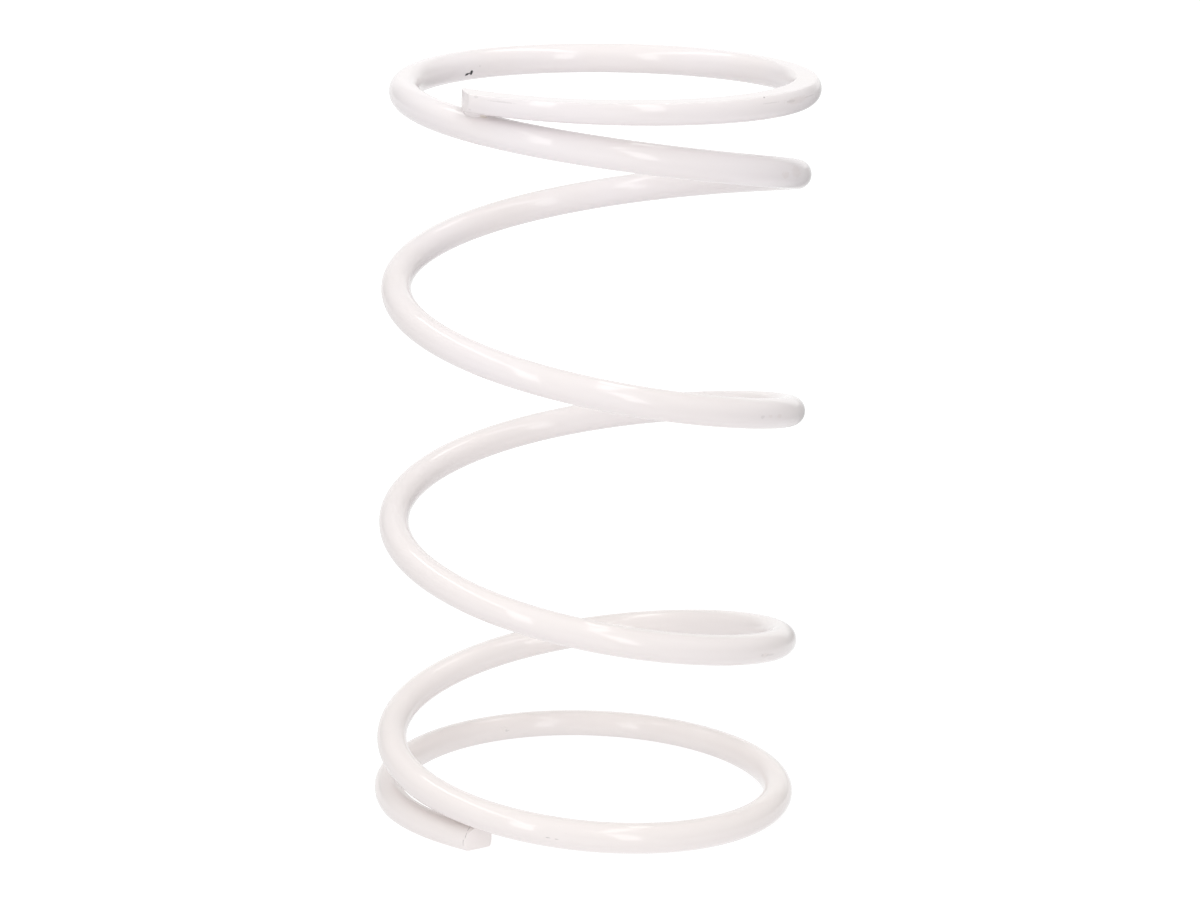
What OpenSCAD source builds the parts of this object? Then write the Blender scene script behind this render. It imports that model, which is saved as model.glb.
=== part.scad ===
// Clutch spring: one left-hand compression spring of round wire, wound open,
// with both ends closed on the next turn, cropped and then ground flat.
// The axis is +Z, z = 0 is the ground face of the lower end coil.

/* [Wire] */
// Diameter of the round wire, paint included
wire_d = 4.55; // [3.5:0.05:5.5]
// Clearance between each wire tip and the turn that it closes on
tip_gap = 0.15; // [0.1:0.05:0.6]

/* [Coil] */
// Mean diameter of the coil, measured to the middle of the wire
coil_mean_d = 60; // [48:1:80]
// Free height, from one ground face to the other
free_h = 113.7; // [90:0.1:150]
// Number of turns from one wire tip to the other
turns = 5.035; // [4.1:0.005:6.2]
// Azimuth of the upper wire tip, counted anticlockwise from +X
upper_tip_azimuth = 227; // [0:1:359]
// How much larger in radius the upper end coil is than the open turns
upper_coil_outset = 0.6; // [0:0.1:1.2]
// How much smaller in radius the first open turn under it is
upper_turn_inset = 1.0; // [0:0.1:2]
// How much larger in radius the lower end coil is than the open turns
lower_coil_outset = 0.3; // [0:0.1:1]

/* [Upper end coil] */
// Angle over which the upper end coil keeps its small closing pitch
upper_closed_angle = 244; // [180:1:300]
// Angle over which the pitch then grows to the open pitch
upper_rise_angle = 277; // [200:1:360]
// Slant of the cropped upper end, counted from a square cut
upper_crop_slant = 50; // [0:1:60]
// Depth that the grinding takes off the wire at the upper tip
upper_grind = 1.6; // [0.4:0.1:2]

/* [Lower end coil] */
// Angle over which the lower end coil keeps its small closing pitch
lower_closed_angle = 133; // [120:1:300]
// Angle over which the pitch then grows to the open pitch
lower_rise_angle = 437; // [200:1:440]
// How far the lower tip sits inside the turn that it closes on
lower_tuck = 0.9; // [0:0.1:2]
// Angle over which the wire bends inward to that tip
lower_tuck_angle = 45; // [40:1:160]
// Slant of the cropped lower end, counted from a square cut
lower_crop_slant = 25; // [0:1:60]
// Depth that the grinding takes off the wire at the lower tip
lower_grind = 1.0; // [0.4:0.1:2]

/* [Cropped tips] */
// Width of the blunt edge that the cropping leaves on the inner side of the wire
blunt_w = 0.7; // [0.5:0.1:1.7]

/* [Mesh] */
// Facets round the wire on the side that the crop slants across
crop_side_facets = 16; // [8:2:16]
// Facets round the rest of the wire
blunt_side_facets = 4; // [4:2:8]
// Rings of facets in one turn
rings_per_turn = 48; // [30:1:56]

/* [Hidden] */

full_turn = 360;
paint_colour = [0.95, 0.94, 0.94];
mean_r = coil_mean_d / 2;
wire_r = wire_d / 2;
upper_overhang = upper_coil_outset + upper_turn_inset;
total_angle = turns * full_turn;
mm_per_degree = mean_r * PI / 180;
upper_tip_z = free_h + upper_grind - wire_r;
lower_tip_z = wire_r - lower_grind;

// A share kept between 0 and 1, and a smooth step over it
function clamp(t) = max(0, min(1, t));
function smooth(t) = let (c = clamp(t)) c * c * (3 - 2 * c);

// Turns' worth of closed coil between a tip and the angle x from it: the
// closing pitch holds over the closed angle, then fades over the rise angle
function closed_turns(x, closed_a, rise_a) =
    let (t = clamp((x - closed_a) / rise_a))
    (min(x, closed_a + rise_a) - rise_a * (pow(t, 3) - pow(t, 4) / 2)) / full_turn;

// Height between a tip and the turn that it closes on, so that the two round
// wires stay tip_gap apart with the tip that far inside or outside the turn
function closing_drop(offset) = sqrt(pow(wire_d + tip_gap, 2) - pow(offset, 2));

upper_first = closed_turns(full_turn, upper_closed_angle, upper_rise_angle);
upper_whole = closed_turns(total_angle, upper_closed_angle, upper_rise_angle);
lower_first = closed_turns(full_turn, lower_closed_angle, lower_rise_angle);
lower_whole = closed_turns(total_angle, lower_closed_angle, lower_rise_angle);
upper_ratio = upper_whole / upper_first;
lower_ratio = lower_whole / lower_first;

// The open pitch is what is left of the height for the open turns
closed_h = closing_drop(upper_overhang) * upper_ratio + closing_drop(lower_tuck) * lower_ratio;
open_pitch = (upper_tip_z - lower_tip_z - closed_h) / (turns - upper_ratio - lower_ratio);
upper_change = (closing_drop(upper_overhang) - open_pitch) / upper_first;
lower_change = (closing_drop(lower_tuck) - open_pitch) / lower_first;

// Height of the wire's middle at the angle a below the upper tip
function wire_z(a) =
    let (from_lower = closed_turns(total_angle - a, lower_closed_angle, lower_rise_angle))
    upper_tip_z - open_pitch * a / full_turn
    - upper_change * closed_turns(a, upper_closed_angle, upper_rise_angle)
    - lower_change * (lower_whole - from_lower);

// Angles from a tip between which its larger end coil runs out, and angles
// below the upper tip between which the smaller turn comes in and goes out again
outset_fade = 200;
outset_end = 340;
inset_start = 180;
inset_full = 340;
inset_fade = 400;
inset_end = 560;
function outset_share(x) = 1 - smooth((x - outset_fade) / (outset_end - outset_fade));
function inset_share(a) =
    smooth((a - inset_start) / (inset_full - inset_start))
    * (1 - smooth((a - inset_fade) / (inset_end - inset_fade)));
function lower_tuck_share(a) = 1 - smooth((total_angle - a) / lower_tuck_angle);

// Radius of the wire's middle at the angle a below the upper tip
function wire_mean_r(a) =
    mean_r + upper_coil_outset * outset_share(a) - upper_turn_inset * inset_share(a)
    + lower_coil_outset * outset_share(total_angle - a)
    - (lower_coil_outset + lower_tuck) * lower_tuck_share(a);

// The wire's middle line, wound left-handed: it turns anticlockwise going down
function wire_point(a) =
    let (azimuth = upper_tip_azimuth + a, r = wire_mean_r(a))
    [r * cos(azimuth), r * sin(azimuth), wire_z(a)];

function unit(v) = v / norm(v);
tangent_step = 0.5;
function wire_tangent(a) = unit(wire_point(a + tangent_step) - wire_point(a - tangent_step));

// A point on the wire's skin, at the angle around counted from the outward side
function skin_point(a, around) =
    let (
        azimuth = upper_tip_azimuth + a,
        tangent = wire_tangent(a),
        radial = [cos(azimuth), sin(azimuth), 0],
        outward = unit(radial - (radial * tangent) * tangent),
        across = cross(tangent, outward)
    )
    wire_point(a) + wire_r * (cos(around) * outward + sin(around) * across);

// Directions round the wire: the crop slants across the outer ones, and the
// crease to the blunt edge runs between the first and the last of them
crease_angle = acos(blunt_w / wire_r - 1);
facets = crop_side_facets + blunt_side_facets;
function around_angle(k) =
    k <= crop_side_facets
        ? -crease_angle + 2 * crease_angle * k / crop_side_facets
        : crease_angle + (full_turn - 2 * crease_angle) * (k - crop_side_facets) / blunt_side_facets;

// Angle along the coil that the crop takes off the wire at one direction
function crop_angle(around, slant) =
    let (depth = wire_r * max(0, cos(around) - cos(crease_angle)))
    depth * tan(slant) / mm_per_degree;

// Station of one skin point: the rings lean over to the crop near each tip
lean_zone = 30;
function leaned(a, crop) = a + crop * (1 - clamp(a / lean_zone));
rings = ceil(turns * rings_per_turn);
function station(i, around) =
    let (
        a = total_angle * i / rings,
        below = leaned(a, crop_angle(around, upper_crop_slant)),
        above = leaned(total_angle - a, crop_angle(around, lower_crop_slant))
    )
    a < total_angle / 2 ? below : total_angle - above;

// The two flats of a cropped tip, as strips between facing pairs of the ring
function flat_strip(first, last, j) =
    let (
        near = [(first + j) % facets, (last - j) % facets],
        far = [(first + j + 1) % facets, (last - j - 1) % facets]
    )
    far[0] == far[1]
        ? [[near[0], far[0], near[1]]]
        : [[near[0], far[0], near[1]], [far[0], far[1], near[1]]];
function flat_faces(first, last) =
    [for (j = [0 : (last - first) / 2 - 1]) each flat_strip(first, last, j)];
tip_faces = concat(flat_faces(0, crop_side_facets), flat_faces(crop_side_facets, facets));

function moved_faces(faces, offset) = [for (f = faces) [for (v = f) v + offset]];
function turned_faces(faces) = [for (f = faces) [f[2], f[1], f[0]]];

// The wound wire, cropped at both tips
module wire() {
    skin = [for (i = [0 : rings]) for (k = [0 : facets - 1])
        skin_point(station(i, around_angle(k)), around_angle(k))];
    side = [for (i = [0 : rings - 1]) for (k = [0 : facets - 1])
        let (
            next = (k + 1) % facets,
            a = i * facets + k,
            b = i * facets + next,
            c = (i + 1) * facets + next,
            d = (i + 1) * facets + k
        )
        each [[a, b, c], [a, c, d]]];
    upper_tip = turned_faces(tip_faces);
    lower_tip = moved_faces(tip_faces, rings * facets);
    polyhedron(points = skin, faces = concat(side, upper_tip, lower_tip), convexity = 12);
}

// What the grinding takes off one end: a level slab that lies over the coil
grind_h = 2 * wire_d;
grind_w = coil_mean_d + 4 * wire_d;
module ground_off(z) {
    translate([-grind_w / 2, -grind_w / 2, z])
        cube([grind_w, grind_w, grind_h]);
}

module coil_spring() {
    color(paint_colour)
        difference() {
            wire();
            ground_off(free_h);
            ground_off(-grind_h);
        }
}

coil_spring();
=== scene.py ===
import math

import bpy
import numpy as np
from mathutils import Matrix, Quaternion, Vector


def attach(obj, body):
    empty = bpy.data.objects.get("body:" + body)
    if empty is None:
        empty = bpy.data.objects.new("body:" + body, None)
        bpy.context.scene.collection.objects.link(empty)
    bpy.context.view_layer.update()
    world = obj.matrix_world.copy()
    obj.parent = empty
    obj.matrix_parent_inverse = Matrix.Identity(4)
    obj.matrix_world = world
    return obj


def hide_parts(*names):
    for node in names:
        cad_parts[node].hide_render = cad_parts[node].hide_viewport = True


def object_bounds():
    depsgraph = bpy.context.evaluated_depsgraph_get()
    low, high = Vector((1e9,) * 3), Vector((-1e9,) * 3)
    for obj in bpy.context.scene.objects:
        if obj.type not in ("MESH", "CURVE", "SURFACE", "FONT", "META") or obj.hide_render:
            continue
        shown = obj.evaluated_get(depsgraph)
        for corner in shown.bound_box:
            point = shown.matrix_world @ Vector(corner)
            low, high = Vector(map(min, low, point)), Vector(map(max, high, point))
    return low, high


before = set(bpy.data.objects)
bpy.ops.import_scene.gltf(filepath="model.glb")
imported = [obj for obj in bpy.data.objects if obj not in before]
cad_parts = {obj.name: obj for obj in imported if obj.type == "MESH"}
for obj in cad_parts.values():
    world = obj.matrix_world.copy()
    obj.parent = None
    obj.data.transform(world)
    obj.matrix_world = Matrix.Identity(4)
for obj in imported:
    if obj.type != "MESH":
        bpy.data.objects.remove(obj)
cad_low, cad_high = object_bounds()


# The spring: one length of round spring steel wire, coiled cold and left-handed into about five turns.
# Each end coil is closed on the next turn, sheared on a slant at the tip and ground flat for its seat.
# The whole coil is then sprayed with gloss white enamel, which rounds every cut edge a little.
MM = 0.001
wire_d = 4.55
tip_gap = 0.15
coil_mean_d = 60.0
free_h = (cad_high[2] - cad_low[2]) / MM
turns = 5.035
upper_tip_azimuth = 227.0
upper_coil_outset, upper_turn_inset, lower_coil_outset = 0.6, 1.0, 0.3
upper_closed_angle, upper_rise_angle, upper_crop_slant, upper_grind = 244, 277, 50, 1.6
lower_closed_angle, lower_rise_angle, lower_crop_slant, lower_grind = 133, 437, 25, 1.0
lower_tuck, lower_tuck_angle = 0.9, 45
blunt_w = 0.7
# Degrees from a tip over which its wider coil runs out, and between which the narrower turn lies.
outset_fade, outset_end = 200, 340
inset_start, inset_full, inset_fade, inset_end = 180, 340, 400, 560
edge_round = 0.12
facets = 88
rings_per_turn = 200

full_turn = 360.0
# The finer skin is drawn in by this much, so that it stays inside the box of the faceted solid.
skin_inset = 0.045
mean_r = coil_mean_d / 2 - skin_inset
wire_r = wire_d / 2
upper_overhang = upper_coil_outset + upper_turn_inset
total_angle = turns * full_turn
mm_per_degree = math.radians(1) * mean_r
upper_tip_z = free_h + upper_grind - wire_r
lower_tip_z = wire_r - lower_grind


def smooth(t):
    c = np.clip(t, 0, 1)
    return c * c * (3 - 2 * c)


def closed_turns(x, closed_a, rise_a):
    """Turns' worth of closed coil between a tip and the angle x from it."""
    t = np.clip((x - closed_a) / rise_a, 0, 1)
    return (np.minimum(x, closed_a + rise_a) - rise_a * (t**3 - t**4 / 2)) / full_turn


def closing_drop(offset):
    """Height from a tip to the turn that it closes on, when the tip lies that far beside it."""
    return math.sqrt((wire_d + tip_gap) ** 2 - offset**2)


upper_first = closed_turns(full_turn, upper_closed_angle, upper_rise_angle)
lower_first = closed_turns(full_turn, lower_closed_angle, lower_rise_angle)
lower_whole = closed_turns(total_angle, lower_closed_angle, lower_rise_angle)
upper_ratio = closed_turns(total_angle, upper_closed_angle, upper_rise_angle) / upper_first
lower_ratio = lower_whole / lower_first
closed_h = closing_drop(upper_overhang) * upper_ratio + closing_drop(lower_tuck) * lower_ratio
open_pitch = (upper_tip_z - lower_tip_z - closed_h) / (turns - upper_ratio - lower_ratio)
upper_change = (closing_drop(upper_overhang) - open_pitch) / upper_first
lower_change = (closing_drop(lower_tuck) - open_pitch) / lower_first


def wire_z(a):
    """Height of the wire's middle at the angle a below the upper tip."""
    from_lower = closed_turns(total_angle - a, lower_closed_angle, lower_rise_angle)
    return (
        upper_tip_z - open_pitch * a / full_turn
        - upper_change * closed_turns(a, upper_closed_angle, upper_rise_angle)
        - lower_change * (lower_whole - from_lower)
    )


def wire_point(a):
    """The wire's middle at the angle a below the upper tip, in millimetres."""
    b = total_angle - a
    inset = smooth((a - inset_start) / (inset_full - inset_start))
    inset = inset * (1 - smooth((a - inset_fade) / (inset_end - inset_fade)))
    r = (
        mean_r - upper_turn_inset * inset
        + upper_coil_outset * (1 - smooth((a - outset_fade) / (outset_end - outset_fade)))
        + lower_coil_outset * (1 - smooth((b - outset_fade) / (outset_end - outset_fade)))
        - (lower_coil_outset + lower_tuck) * (1 - smooth(b / lower_tuck_angle))
    )
    azimuth = np.radians(upper_tip_azimuth + a)
    return np.stack([r * np.cos(azimuth), r * np.sin(azimuth), wire_z(a)], axis=-1)


def unit(v):
    return v / np.linalg.norm(v, axis=-1, keepdims=True)


tangent_step = 0.5


def wire_direction(a):
    return unit(wire_point(a + tangent_step) - wire_point(a - tangent_step))


def skin_point(a, around, radius):
    """A point beside the wire's middle line, at the angle around counted from the outward side."""
    along = wire_direction(a)
    azimuth = np.radians(upper_tip_azimuth + a)
    radial = np.stack([np.cos(azimuth), np.sin(azimuth), np.zeros_like(azimuth)], axis=-1)
    outward = unit(radial - (radial * along).sum(axis=-1, keepdims=True) * along)
    across = np.cross(along, outward)
    side = np.cos(around)[..., None] * outward + np.sin(around)[..., None] * across
    return wire_point(a) + radius[..., None] * side


# Each ring of facets has a line on either edge of the ground face, so that the edge runs clean.
# Away from the ground faces those two lines ease back to their even place, plain_edge from the top.
plain_edge = math.radians(45)
least_edge = math.radians(6)
edge_return = 0.5


def ground_edge(a):
    """Angle round the wire from its top or foot to the edge of the ground face, in radians."""
    z = wire_z(a)
    level = np.minimum(free_h - z, z) / wire_r
    ground = np.maximum(np.arccos(np.clip(level, -1, 1)), least_edge)
    back = smooth((level - math.cos(least_edge)) / edge_return)
    return ground + (plain_edge - ground) * back


def around_ring(a):
    """The angles of one ring's facet lines, counted from the outward side, in radians."""
    edge = ground_edge(a)
    quarter = math.pi / 2
    even = [0, quarter - plain_edge, quarter, quarter + plain_edge, math.pi]
    moved = [0, quarter - edge, quarter, quarter + edge, math.pi]
    half = np.interp(np.linspace(0, math.pi, facets // 2 + 1), even, moved)
    return np.concatenate([half, 2 * math.pi - half[-2:0:-1]])


# The rims of the two sheared faces are rounded over a few narrow rings.
round_steps = 4
lean_zone = 30.0
crease = math.acos(blunt_w / wire_r - 1)
turned = np.linspace(math.pi / 2, 0, round_steps + 1)
rim_radius = wire_r - edge_round * (1 - np.cos(turned))
rim_back = edge_round * (1 - np.sin(turned)) / mm_per_degree
rings = math.ceil(turns * rings_per_turn)
plain = total_angle * np.arange(1, rings) / rings
ring_angle = np.concatenate([rim_back, plain, total_angle - rim_back[::-1]])
ring_radius = np.concatenate([rim_radius, np.full(rings - 1, wire_r), rim_radius[::-1]])
around = np.array([around_ring(a) for a in ring_angle])
radius = np.broadcast_to(ring_radius[:, None], around.shape)


def leaned(a, slant):
    """Distance from a tip, with the rings near it leaned over to its slanted shear cut."""
    depth = np.maximum(0, radius * np.cos(around) - wire_r * math.cos(crease))
    crop = depth * math.tan(math.radians(slant)) / mm_per_degree
    return a + crop * (1 - np.clip(a / lean_zone, 0, 1))


below = ring_angle[:, None]
above = total_angle - below
station = np.where(
    below < above, leaned(below, upper_crop_slant), total_angle - leaned(above, lower_crop_slant)
)
skin = skin_point(station, around, radius)

# Grinding: what stands above a seat plane goes down to it, over an edge that is rounded a little.
grind_round = 0.08


def under(z, level):
    near = np.clip(level + grind_round - z, 0, 2 * grind_round)
    return np.where(z > level - grind_round, level - near**2 / (4 * grind_round), z)


rim_drop = wire_r - radius
skin[..., 2] = under(skin[..., 2], free_h - rim_drop)
skin[..., 2] = -under(-skin[..., 2], -rim_drop)
skin = skin.reshape(-1, 3) * MM


def sheared_face(start, flip):
    """The flat end of the wire, as strips between facing pairs of the ring that starts at start."""
    made = []
    for j in range(facets // 2):
        row = [j, j + 1, facets - j - 1, facets - j]
        if j == 0:
            row = [0, 1, facets - 1]
        if j == facets // 2 - 1:
            row = [j, j + 1, facets - j]
        face = [start + v for v in row]
        made.append(face[::-1] if flip else face)
    return made


ring_count = len(ring_angle)
faces = []
for i in range(ring_count - 1):
    for k in range(facets):
        n = (k + 1) % facets
        faces.append([i * facets + k, i * facets + n, (i + 1) * facets + n, (i + 1) * facets + k])

# Enamel that ran into the crevice under the upper tip, as a hollow-faced bead between two turns.
# Its edges lie run_depth inside the wire, and it narrows over the last run_fade degrees.
run_start, run_end, run_fade = 3.8, 10.5, 4.0
run_top_side, run_foot_side, run_narrowing = 88, -50, 20
run_columns, run_rows = 36, 6
run_hollow, run_depth, run_thick = 0.10, 0.04, 0.30
run_a = np.linspace(run_start, run_end, run_columns)
thin = smooth((run_end - run_a) / run_fade)
run_radius = np.full(run_columns, wire_r - run_depth)
narrowing = run_narrowing * (1 - thin)
run_top = skin_point(run_a, np.radians(run_top_side + narrowing), run_radius)
run_foot = skin_point(run_a + full_turn, np.radians(run_foot_side - narrowing), run_radius)
run_azimuth = np.radians(upper_tip_azimuth + run_a)
run_outward = np.stack([np.cos(run_azimuth), np.sin(run_azimuth), 0 * run_a], axis=-1)
run_first = len(skin)
for t in np.linspace(0, 1, run_rows):
    row = run_top * (1 - t) + run_foot * t - run_outward * run_hollow * 4 * t * (1 - t)
    skin = np.vstack([skin, row * MM])
run_back = (run_top + run_foot) / 2 - run_outward * run_thick
skin = np.vstack([skin, run_back * MM])
run_loops = [[run_first + k * run_columns + i for k in range(run_rows + 1)] for i in range(run_columns)]
for here, ahead in zip(run_loops, run_loops[1:]):
    for k in range(run_rows + 1):
        n = (k + 1) % (run_rows + 1)
        faces.append([here[k], here[n], ahead[n], ahead[k]])
side_count = len(faces)
faces += [run_loops[0][::-1], run_loops[-1]]
faces += sheared_face(0, True) + sheared_face((ring_count - 1) * facets, False)

mesh = bpy.data.meshes.new("coil_spring_skin")
mesh.from_pydata(skin.tolist(), [], faces)
mesh.update()
for polygon in mesh.polygons:
    polygon.use_smooth = polygon.index < side_count
spring = bpy.data.objects.new("coil_spring_wire", mesh)
bpy.context.scene.collection.objects.link(spring)

paint = bpy.data.materials.new("white_gloss_enamel")


def emptied(owner):
    """The node tree of a material or a world, with nothing in it yet."""
    owner.use_nodes = True
    owner.node_tree.nodes.clear()
    return owner.node_tree


tree = emptied(paint)


def node(kind, **settings):
    """A new node in the tree that is being filled: the enamel's, then the room's, then the floor's."""
    made = tree.nodes.new(kind)
    for name, value in settings.items():
        setattr(made, name, value)
    return made


def link(source, target):
    tree.links.new(source, target)


def feed(value, target):
    """Sets a plain number or colour on a socket, or links what another node gives."""
    if isinstance(value, tuple):
        target.default_value = (*value, 1)
    elif isinstance(value, (int, float)):
        target.default_value = value
    else:
        link(value, target)


def noise(scale, detail=2.0, where=None):
    """Noise with that many cells in a metre, over the part's own coordinates or over those given."""
    n = node("ShaderNodeTexNoise")
    n.inputs["Scale"].default_value = scale
    n.inputs["Detail"].default_value = detail
    link(place.outputs["Object"] if where is None else where, n.inputs["Vector"])
    return n.outputs["Fac"]


def ranged(value, low, high, to_low, to_high, easing="LINEAR"):
    n = node("ShaderNodeMapRange", interpolation_type=easing)
    link(value, n.inputs["Value"])
    for name, v in (("From Min", low), ("From Max", high), ("To Min", to_low), ("To Max", to_high)):
        n.inputs[name].default_value = v
    return n.outputs["Result"]


def mixed(factor, first, second):
    n = node("ShaderNodeMix", data_type="RGBA")
    link(factor, n.inputs["Factor"])
    feed(first, n.inputs["A"])
    feed(second, n.inputs["B"])
    return n.outputs["Result"]


def worked_out(operation, first, second):
    n = node("ShaderNodeMath", operation=operation)
    feed(first, n.inputs[0])
    feed(second, n.inputs[1])
    return n.outputs[0]


def times(first, second):
    return worked_out("MULTIPLY", first, second)


def most(values):
    total = values[0]
    for value in values[1:]:
        total = worked_out("MAXIMUM", total, value)
    return total


place = node("ShaderNodeTexCoord")
ragged_share = 0.35
ragged = ranged(noise(2600), 0.3, 0.7, -ragged_share, ragged_share)


def spot(below_tip, round_wire, length, width):
    """A small mark: its two angles in degrees, its length and its width in millimetres."""
    a, turn = np.array(float(below_tip)), np.radians(float(round_wire))
    centre = Vector(skin_point(a, turn, np.array(wire_r)))
    out = (centre - Vector(wire_point(a))).normalized()
    along = Vector(wire_direction(a))
    axes = Matrix((along, out.cross(along), out)).transposed()
    at = node("ShaderNodeMapping", vector_type="TEXTURE")
    at.inputs["Location"].default_value = centre * MM
    at.inputs["Rotation"].default_value = axes.to_euler()
    at.inputs["Scale"].default_value = Vector((length, width, width)) * MM / 2
    link(place.outputs["Object"], at.inputs["Vector"])
    far = node("ShaderNodeVectorMath", operation="LENGTH")
    link(at.outputs["Vector"], far.inputs[0])
    return ranged(worked_out("ADD", far.outputs["Value"], ragged), 0.8, 1.2, 1, 0)


# Each row below is one mark: degrees below the upper tip, degrees round the wire, length, width.
# Chips down to the steel, on the inner side of the upper end coil.
chips = most([spot(*v) for v in (
    (271.2, 155, 0.75, 0.50), (269.3, 160, 0.50, 0.75), (270.3, 158, 0.35, 0.25),
)])
# Dark spots, and a thin crack across the lower tip. The two spots in the crevice under the upper tip are
# painted shade there.
specks_and_crevice_shade = most([spot(*v) for v in (
    (88.9, 325, 0.36, 0.30), (15.6, 70, 1.50, 0.35), (378.6, 274, 0.40, 0.24),
    (1474.0, 4, 0.80, 0.11), (1476.4, 5, 0.70, 0.10),
    (1808.8, 300, 0.12, 1.0), (1808.9, 330, 0.12, 1.2), (1808.4, 0, 0.12, 0.9),
)])
# Scuffs that only dull the enamel a little.
scuffs = most([spot(*v) for v in (
    (8.4, 40, 0.50, 0.34), (10.8, 346, 0.60, 0.34), (18.0, 353, 5.50, 0.20), (91.0, 348, 6.00, 0.14),
    (99.6, 353, 2.50, 0.34), (111.0, 352, 7.00, 0.18), (265.8, 182, 0.40, 0.30), (520.0, 20, 0.50, 0.25),
    (813.4, 4, 0.70, 0.50), (814.0, 4, 0.40, 0.35), (1002.0, 40, 0.40, 0.30), (1177.6, 12, 0.70, 0.45),
    (1181.8, 15, 2.40, 0.34), (1250.0, 330, 0.60, 0.25), (1690.0, 190, 0.70, 0.40),
)])
# Brownish patches on the right ends of the turns, and one yellow stain beside the upper tip.
right_end_browning = most([spot(*v) for v in (
    (469.0, 352, 3.2, 1.7), (462.5, 6, 2.0, 1.0), (817.0, 2, 1.0, 0.5), (821.6, 2, 1.4, 0.6),
    (103.0, 354, 7.0, 0.9), (1179.0, 14, 2.0, 0.8),
)])
stain = spot(369.2, 294, 1.0, 0.60)
dent = spot(1691.0, 196, 1.3, 0.80)

# The seat faces: the enamel lies thinner over the grinding lines and is rubbed a little.
height = node("ShaderNodeSeparateXYZ")
link(place.outputs["Object"], height.inputs[0])
seat_depth = 0.05 * MM
line_cells, line_stretch = 130, 26
seat = most([
    ranged(height.outputs["Z"], free_h * MM - seat_depth, free_h * MM - seat_depth / 4, 0, 1),
    ranged(height.outputs["Z"], seat_depth / 4, seat_depth, 1, 0),
])
lines_map = node("ShaderNodeMapping")
lines_map.inputs["Rotation"].default_value = (0, 0, math.radians(28))
lines_map.inputs["Scale"].default_value = (1, line_stretch, 1)
link(place.outputs["Object"], lines_map.inputs["Vector"])
seat_lines = times(seat, noise(line_cells, 3.0, lines_map.outputs["Vector"]))

shader = node("ShaderNodeBsdfPrincipled")
output = node("ShaderNodeOutputMaterial")
link(shader.outputs["BSDF"], output.inputs["Surface"])
shader.inputs["IOR"].default_value = 1.5
white = (0.895, 0.854, 0.864)
warm_white = (0.885, 0.838, 0.832)
lower_tint_white = (0.890, 0.838, 0.812)
dull = (0.80, 0.757, 0.75)
yellow = (0.78, 0.70, 0.42)
brown = (0.55, 0.43, 0.37)
scuff_grey = (0.30, 0.27, 0.27)
speck_and_shade_grey = (0.16, 0.15, 0.15)
bare_steel = (0.030, 0.030, 0.034)
# The enamel is a little warmer in tone towards the lower end of the coil.
tint_full_below, tint_gone_above, most_lower_tint = 15 * MM, 100 * MM, 0.7
tone = mixed(ranged(noise(45, 3.0), 0.35, 0.65, 0, 1), white, warm_white)
tone = mixed(ranged(height.outputs["Z"], tint_full_below, tint_gone_above, most_lower_tint, 0), tone, lower_tint_white)
tone = mixed(ranged(noise(1900, 1.0), 0.76, 0.80, 0, 0.35), tone, dull)
tone = mixed(times(seat_lines, 0.35), tone, dull)
tone = mixed(times(stain, 0.22), tone, yellow)
tone = mixed(times(right_end_browning, 0.13), tone, brown)
tone = mixed(times(scuffs, 0.17), tone, scuff_grey)
# Dark spots, with painted shade in the crevice under the upper tip.
tone = mixed(times(specks_and_crevice_shade, 0.50), tone, speck_and_shade_grey)
tone = mixed(chips, tone, bare_steel)
link(tone, shader.inputs["Base Color"])
gloss = ranged(noise(260, 3.0), 0.3, 0.7, 0.02, 0.05)
rough = most([gloss, times(seat, 0.14), times(scuffs, 0.22), times(chips, 0.50)])
link(rough, shader.inputs["Roughness"])


def bumped(height_value, strength, distance, under_bump=None):
    """A bump of the given share of strength and depth in millimetres, over the bump under it."""
    n = node("ShaderNodeBump")
    n.inputs["Strength"].default_value = strength
    n.inputs["Distance"].default_value = distance * MM
    link(height_value, n.inputs["Height"])
    if under_bump is not None:
        link(under_bump, n.inputs["Normal"])
    return n.outputs["Normal"]


# Sprayed enamel has a slight orange peel, fine and broad. Chips and the dent go in.
peel = bumped(noise(420), 0.03, 0.2)
peel = bumped(noise(110, 1.0), 0.04, 0.6, peel)
ground = bumped(seat_lines, 0.25, 0.06, peel)
pits = bumped(ranged(most([chips, times(dent, 0.3)]), 0, 1, 1, 0), 0.8, 0.12, ground)
link(pits, shader.inputs["Normal"])
mesh.materials.append(paint)

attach(spring, "root")
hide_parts("coil_spring")


# The lamps: two tall softboxes stand beside the camera and two long strips hang overhead.
# The enamel mirrors them as the narrow highlights along each turn.
middle = Vector((0, 0, free_h * MM / 2))
lamp_distance, softbox_lift, softbox_height = 1.8, 22, 1.40


def lamp_panel(name, width, length, radiance):
    """A rectangular lamp whose whole face shines at the given radiance, unseen by the camera."""
    data = bpy.data.lights.new(name, "AREA")
    data.shape = "RECTANGLE"
    data.size, data.size_y = width, length
    data.energy = radiance * math.pi * width * length
    lamp = bpy.data.objects.new(name, data)
    lamp.visible_camera = False
    bpy.context.scene.collection.objects.link(lamp)
    return lamp


def softbox(name, azimuth, width, radiance):
    """A tall soft lamp in front. Azimuth 0 is the camera's side and grows to the right."""
    az, el = math.radians(azimuth), math.radians(softbox_lift)
    toward = Vector((math.sin(az) * math.cos(el), -math.cos(az) * math.cos(el), math.sin(el)))
    lamp = lamp_panel(name, width, softbox_height, radiance)
    lamp.location = middle + toward * lamp_distance
    lamp.rotation_mode = "QUATERNION"
    lamp.rotation_quaternion = toward.to_track_quat("Z", "Y")


softbox("softbox_left", -29.5, 0.38, 2.75)
softbox("softbox_right", 27, 0.40, 2.85)

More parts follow.
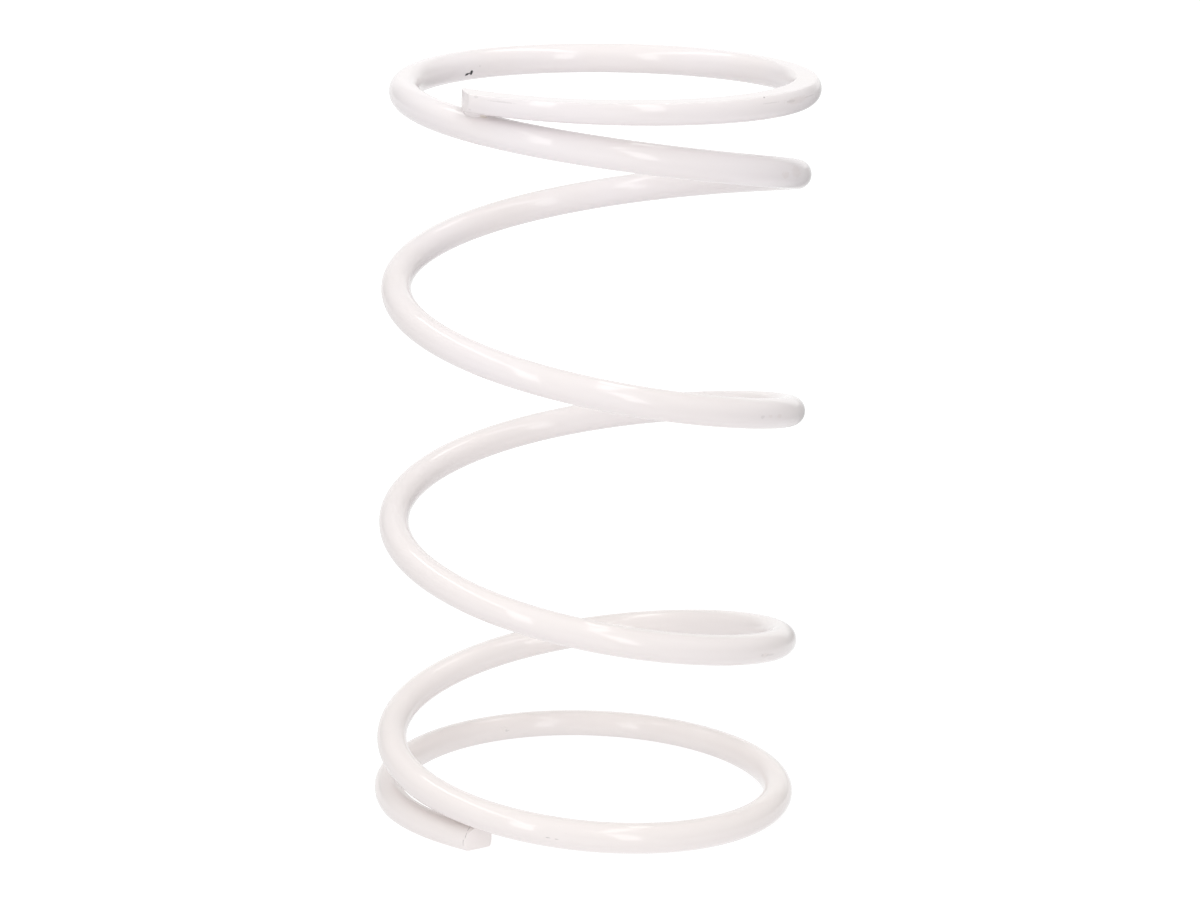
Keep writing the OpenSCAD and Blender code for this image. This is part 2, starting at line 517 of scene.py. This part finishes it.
strip_height, strip_forward, strip_length, strip_width, strip_radiance = 1.2, 0.1, 1.8, 0.14, 3.0
for strip_name, strip_x in (("strip_left", -0.60), ("strip_right", 0.36)):
    strip = lamp_panel(strip_name, strip_width, strip_length, strip_radiance)
    strip.location = (strip_x, -strip_forward, strip_height)
    strip.rotation_euler = (0, math.atan2(strip_x, strip_height), 0)


# The room: even light that grows overhead and falls off on the right. The enamel mirrors grey
# walls, a paler ceiling and a white backdrop, and the camera sees white only.
side_light, top_light, right_falloff = 0.43, 1.10, -0.20
left_wall, right_wall, ceiling_light = 0.70, 0.40, 0.72
pure_white = (1, 1, 1)
wall_grey = (0.8, 0.8, 0.8)


def eased(value, low, high, to_low, to_high):
    return ranged(value, low, high, to_low, to_high, "SMOOTHSTEP")


def glowing(kind, colour, strength):
    n = node(kind)
    feed(colour, n.inputs["Color"])
    feed(strength, n.inputs["Strength"])
    return n


def blend(factor, first, second):
    """Passes from the first of two shaders to the second as the factor grows from 0 to 1."""
    n = node("ShaderNodeMixShader")
    link(factor, n.inputs["Fac"])
    link(first.outputs[0], n.inputs[1])
    link(second.outputs[0], n.inputs[2])
    return n


studio = bpy.data.worlds.new("studio")
bpy.context.scene.world = studio
tree = emptied(studio)
room_ray = node("ShaderNodeLightPath")
way = node("ShaderNodeSeparateXYZ")
link(node("ShaderNodeTexCoord").outputs["Generated"], way.inputs[0])
overhead_light = eased(way.outputs["Z"], 0.3, 1, side_light, top_light)
right_light = eased(way.outputs["X"], 0.3, 1, 0, right_falloff)
room_light = worked_out("ADD", overhead_light, right_light)
wall_light = eased(way.outputs["X"], -1, 1, left_wall, right_wall)
lighting = glowing("ShaderNodeBackground", (1, 0.99, 0.98), room_light)
walls = glowing("ShaderNodeBackground", wall_grey, wall_light)
ceiling = glowing("ShaderNodeBackground", wall_grey, ceiling_light)
backdrop = glowing("ShaderNodeBackground", pure_white, 1)
room_mirrored = blend(eased(way.outputs["Z"], 0.05, 0.45, 0, 1), walls, ceiling)
room_mirrored = blend(eased(way.outputs["Y"], 0.80, 0.96, 0, 1), room_mirrored, backdrop)
lit = blend(room_ray.outputs["Is Glossy Ray"], lighting, room_mirrored)
lit = blend(room_ray.outputs["Is Transmission Ray"], lit, backdrop)
lit = blend(room_ray.outputs["Is Camera Ray"], lit, backdrop)
link(lit.outputs[0], node("ShaderNodeOutputWorld").inputs["Surface"])

# The floor: white paper that keeps the spring's shadow. Towards the spring it glows as painted bounce
# light, more in front of the spring and inside it than behind it, and the enamel mirrors it darker on
# the far right.
floor_half = 4
front_glow, back_glow, inner_glow = 0.96, 0.43, 0.22
shadow_paper = (0.30, 0.30, 0.30)
glow_under, glow_around = 0.78, 1.0
mirrored_left, mirrored_right = 1.0, 0.40
floor_mesh = bpy.data.meshes.new("floor")
corners = [(-floor_half, -floor_half, 0), (floor_half, -floor_half, 0)]
corners += [(floor_half, floor_half, 0), (-floor_half, floor_half, 0)]
floor_mesh.from_pydata(corners, [], [(0, 1, 2, 3)])
floor = bpy.data.objects.new("floor", floor_mesh)
bpy.context.scene.collection.objects.link(floor)
floor_paper = bpy.data.materials.new("floor_paper")
tree = emptied(floor_paper)
floor_ray = node("ShaderNodeLightPath")
spot_on_paper = node("ShaderNodeTexCoord")
away = node("ShaderNodeVectorMath", operation="LENGTH")
link(spot_on_paper.outputs["Object"], away.inputs[0])
spread = node("ShaderNodeSeparateXYZ")
link(spot_on_paper.outputs["Object"], spread.inputs[0])
# Painted bounce light: for the spring's diffuse light the floor glows, more in front and inside than
# behind.
outer_light = eased(spread.outputs["Y"], -0.08, 0.12, front_glow, back_glow)
inner_light = eased(away.outputs["Value"], 0.015, 0.05, inner_glow, 0)
glow_toward_spring = worked_out("ADD", outer_light, inner_light)
paper_glow = glowing("ShaderNodeEmission", (1, 0.985, 1), glow_toward_spring)
shadowed = node("ShaderNodeBsdfDiffuse")
feed(shadow_paper, shadowed.inputs["Color"])
shown_light = eased(away.outputs["Value"], 0.06, 0.30, glow_under, glow_around)
glow = glowing("ShaderNodeEmission", pure_white, shown_light)
shown = node("ShaderNodeAddShader")
link(shadowed.outputs[0], shown.inputs[0])
link(glow.outputs[0], shown.inputs[1])
near = glowing("ShaderNodeEmission", pure_white, 1)
bearing = worked_out("DIVIDE", spread.outputs["X"], away.outputs["Value"])
aside_light = eased(bearing, 0.10, 0.50, mirrored_left, mirrored_right)
aside = glowing("ShaderNodeEmission", pure_white, aside_light)
floor_mirrored = blend(eased(away.outputs["Value"], 0.08, 0.22, 0, 1), near, aside)
surface = blend(floor_ray.outputs["Is Glossy Ray"], paper_glow, floor_mirrored)
surface = blend(floor_ray.outputs["Is Transmission Ray"], surface, shown)
surface = blend(floor_ray.outputs["Is Camera Ray"], surface, shown)
link(surface.outputs[0], node("ShaderNodeOutputMaterial").inputs["Surface"])
floor_mesh.materials.append(floor_paper)

# The camera: a long lens a little over half a metre away, looking slightly down on the spring.
# Its place, its aim and its slight roll come from a fit of the coil to the photo's outline.
camera_tilt, camera_yaw, camera_roll = 14.3418, 0.1391, 1.4015
camera_y, camera_z = -523.6, 189.45
frame_px, focal_px, sensor_width = 1200, 3549.5, 36
camera_data = bpy.data.cameras.new("camera")
camera_data.sensor_width = sensor_width
camera_data.lens = sensor_width * focal_px / frame_px
camera_data.clip_start, camera_data.clip_end = 0.01, 20
camera = bpy.data.objects.new("camera", camera_data)
camera.location = Vector((0, camera_y, camera_z)) * MM
tilt, yaw = math.radians(camera_tilt), math.radians(camera_yaw)
look = Vector((math.sin(yaw) * math.cos(tilt), math.cos(yaw) * math.cos(tilt), -math.sin(tilt)))
camera.rotation_mode = "QUATERNION"
roll = Quaternion((0, 0, 1), math.radians(camera_roll))
camera.rotation_quaternion = look.to_track_quat("-Z", "Y") @ roll
bpy.context.scene.collection.objects.link(camera)
bpy.context.scene.camera = camera
bpy.context.scene.view_settings.view_transform = "Standard"
